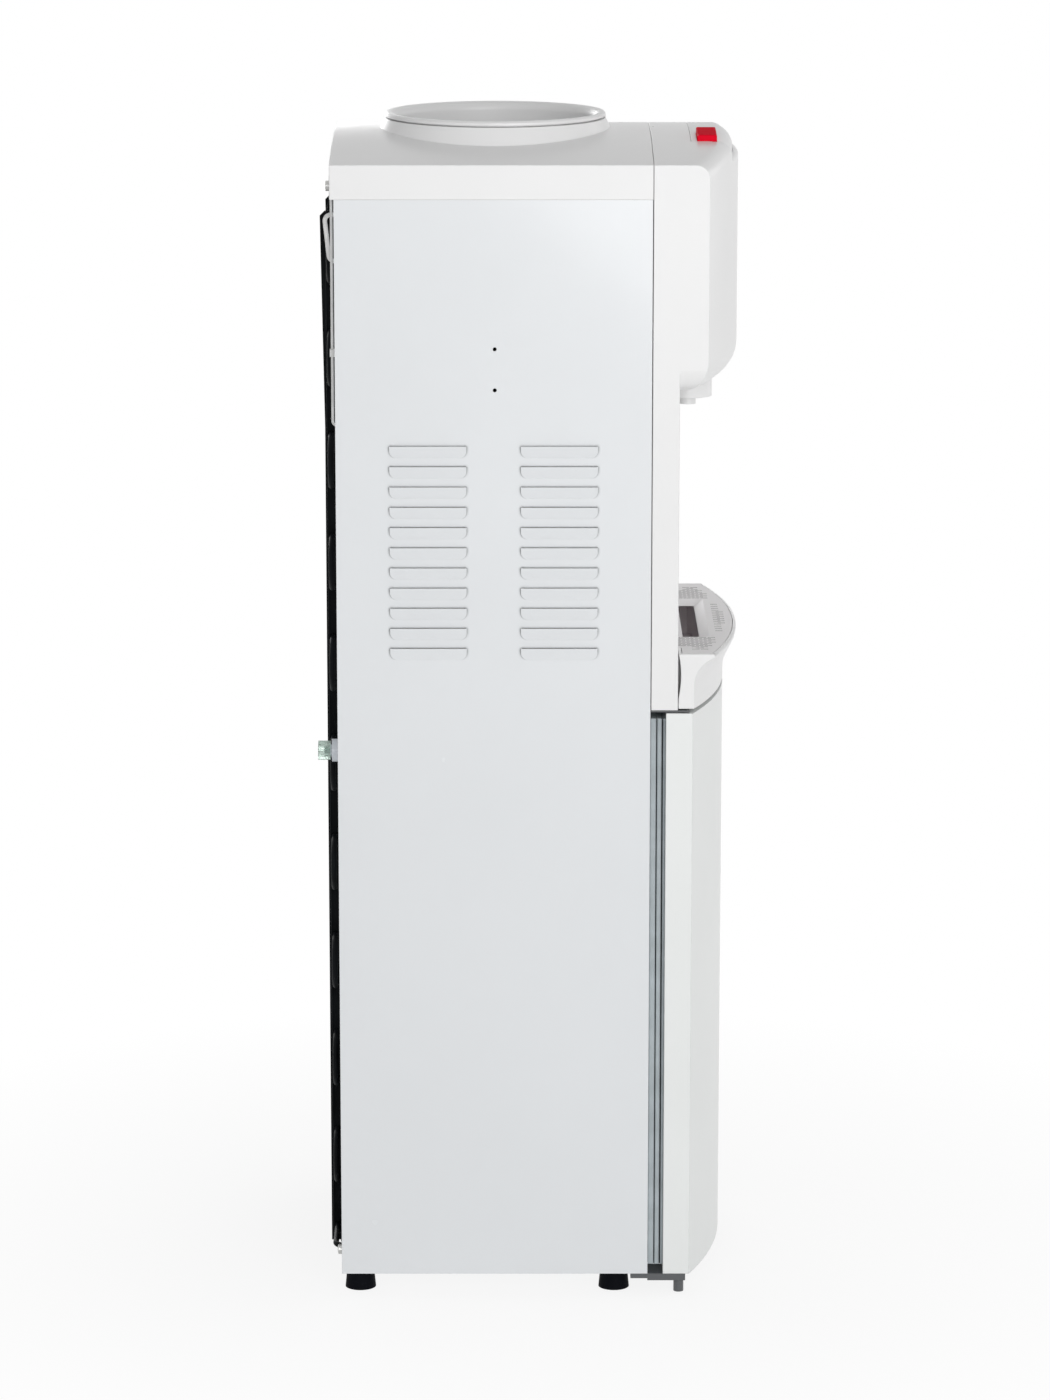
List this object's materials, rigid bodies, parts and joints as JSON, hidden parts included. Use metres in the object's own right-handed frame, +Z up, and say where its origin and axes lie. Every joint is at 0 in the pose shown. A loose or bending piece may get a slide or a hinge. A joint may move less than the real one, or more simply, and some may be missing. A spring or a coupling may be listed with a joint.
{
  "type": "water cooler",
  "caption": "Free-standing top-loading hot and cold water cooler with a bottle well, dispensing alcove, drip tray and a small refrigerated cabinet behind a hinged door.",
  "frame": {"origin": "on the floor, under the middle of the whole cooler", "axes": "+Z up, the front faces -Y, +X to the right as seen from the front"},
  "size_m": [0.3152, 0.3516, 0.9839],
  "materials": {
    "panel_paint": "gloss",
    "white_moulding": "gloss",
    "cabinet_white": "satin",
    "grille_grey": "satin",
    "pan_grey": "satin",
    "hot_red": "gloss",
    "tap_white": "satin",
    "gasket_grey": "satin",
    "black_rubber": "matte",
    "seal_rubber": "satin",
    "hinge_steel": "satin",
    "bush_plastic": "satin",
    "zinc_steel": "satin",
    "tank_steel": "satin",
    "wire_white": "gloss",
    "foam": "matte",
    "black_paint": "satin",
    "copper_pipe": "satin",
    "silicone": "satin",
    "lead_white": "satin",
    "drain_white": "satin",
    "cap_green": "gloss",
    "switch_black": "satin",
    "rocker_red": "gloss",
    "rocker_green": "gloss",
    "screw_zinc": "satin",
    "heater_steel": "satin"
  },
  "bodies": {
    "cabinet": {"base_plate": "zinc_steel", "left_side_panel": "panel_paint", "right_side_panel": "panel_paint", "rear_panel": "zinc_steel", "machine_bulkhead": "zinc_steel", "tank_deck": "zinc_steel", "tank_shelf": "zinc_steel", "top_cover": "white_moulding", "seat_seal": "seal_rubber", "front_fascia": "white_moulding", "control_panel": "white_moulding", "hot_button_spring": "zinc_steel", "cold_button_spring": "zinc_steel", "hot_tap": "tap_white", "cold_tap": "tap_white", "drip_tray_housing": "white_moulding", "upper_hinge_bracket": "hinge_steel", "lower_hinge_bracket": "hinge_steel", "feet": "black_rubber", "cabinet_liner": "cabinet_white", "cabinet_insulation": "foam", "wire_shelf": "wire_white", "cold_tank": "tank_steel", "evaporator": "copper_pipe", "cold_jacket": "foam", "hot_tank": "tank_steel", "heater_band": "heater_steel", "hot_jacket": "foam", "thermostats": "switch_black", "hot_hose": "silicone", "cold_hose": "silicone", "feed_hose": "silicone", "drain_hose": "silicone", "suction_line": "copper_pipe", "discharge_line": "black_paint", "compressor": "black_paint", "compressor_mounts": "black_rubber", "condenser_coil": "black_paint", "condenser_wires": "black_paint", "condenser_brackets": "black_paint", "filter_drier": "black_paint", "drain_outlet": "drain_white", "switch_housing": "switch_black", "cord_gland": "black_rubber", "rear_leads": "lead_white", "rear_screws": "screw_zinc"},
    "door": {"door_skin": "white_moulding", "door_liner": "cabinet_white", "door_insulation": "foam", "door_gasket": "gasket_grey", "hinge_bushes": "bush_plastic"},
    "hot_button": {"hot_button": "hot_red"},
    "cold_button": {"cold_button": "white_moulding"},
    "pan": {"drip_pan": "pan_grey"},
    "grille": {"drip_grille": "grille_grey"},
    "seat": {"bottle_seat": "white_moulding", "bottle_probe": "tap_white"},
    "drain_cap": {"drain_cap": "cap_green"},
    "hot_rocker": {"hot_switch": "rocker_red"},
    "cold_rocker": {"cold_switch": "rocker_green"}
  },
  "joints": [
    {"name": "door_swing", "type": "hinge", "parent": "cabinet", "child": "door", "pos_m": [-0.147, -0.1263, 0.26], "axis": [0, 0, -1], "range_deg": [0, 110]},
    {"name": "hot_button_press", "type": "slide", "parent": "cabinet", "child": "hot_button", "axis": [0, 0, -1], "range_m": [0, 0.004], "stiffness_N_per_m": 600, "springref_m": -0.003, "deforming": ["hot_button_spring"]},
    {"name": "cold_button_press", "type": "slide", "parent": "cabinet", "child": "cold_button", "axis": [0, 0, -1], "range_m": [0, 0.004], "stiffness_N_per_m": 600, "springref_m": -0.003, "deforming": ["cold_button_spring"]},
    {"name": "pan_lift", "type": "slide", "parent": "cabinet", "child": "pan", "axis": [0, 0, 1], "range_m": [0, 0.12]},
    {"name": "grille_lift", "type": "slide", "parent": "pan", "child": "grille", "axis": [0, 0, 1], "range_m": [0, 0.06]},
    {"name": "seat_lift", "type": "slide", "parent": "cabinet", "child": "seat", "axis": [0, 0, 1], "range_m": [0, 0.12]},
    {"name": "drain_cap_pull", "type": "slide", "parent": "cabinet", "child": "drain_cap", "axis": [0, 1, 0], "range_m": [0, 0.03]},
    {"name": "hot_switch_rock", "type": "hinge", "parent": "cabinet", "child": "hot_rocker", "pos_m": [0.106, 0.1572, 0.6499], "axis": [-1, 0, 0], "range_deg": [0, 16]},
    {"name": "cold_switch_rock", "type": "hinge", "parent": "cabinet", "child": "cold_rocker", "pos_m": [0.126, 0.1572, 0.6499], "axis": [-1, 0, 0], "range_deg": [0, 16]}
  ]
}
